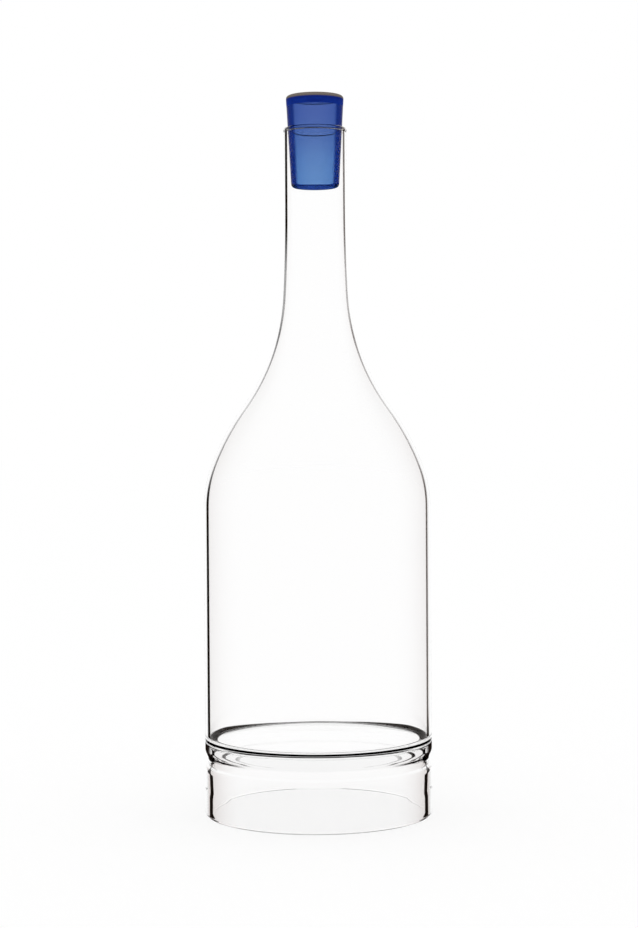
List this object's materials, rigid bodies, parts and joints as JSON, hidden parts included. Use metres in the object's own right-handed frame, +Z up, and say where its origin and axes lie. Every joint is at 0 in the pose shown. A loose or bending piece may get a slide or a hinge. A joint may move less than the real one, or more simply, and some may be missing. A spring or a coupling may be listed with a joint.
{
  "type": "stoppered glass bottle",
  "caption": "Clear glass bottle with a long neck and rounded shoulders, its floor raised on an open foot ring, closed by a lift-out hollow blue glass stopper.",
  "frame": {"origin": "centre of the plane that the foot ring stands on, on the bottle's axis", "axes": "+Z up along the axis of the bottle and its stopper; the bottle is round, so +X and +Y are any two square directions"},
  "size_m": [0.0976, 0.0976, 0.3078],
  "materials": {
    "clear_glass": "polished",
    "blue_glass": "polished"
  },
  "bodies": {
    "bottle": {"vessel": "clear_glass", "foot_ring": "clear_glass"},
    "stopper": {"stopper": "blue_glass"}
  },
  "joints": [
    {"name": "stopper_lift", "type": "slide", "parent": "bottle", "child": "stopper", "axis": [0, 0, 1], "range_m": [0, 0.04]}
  ]
}
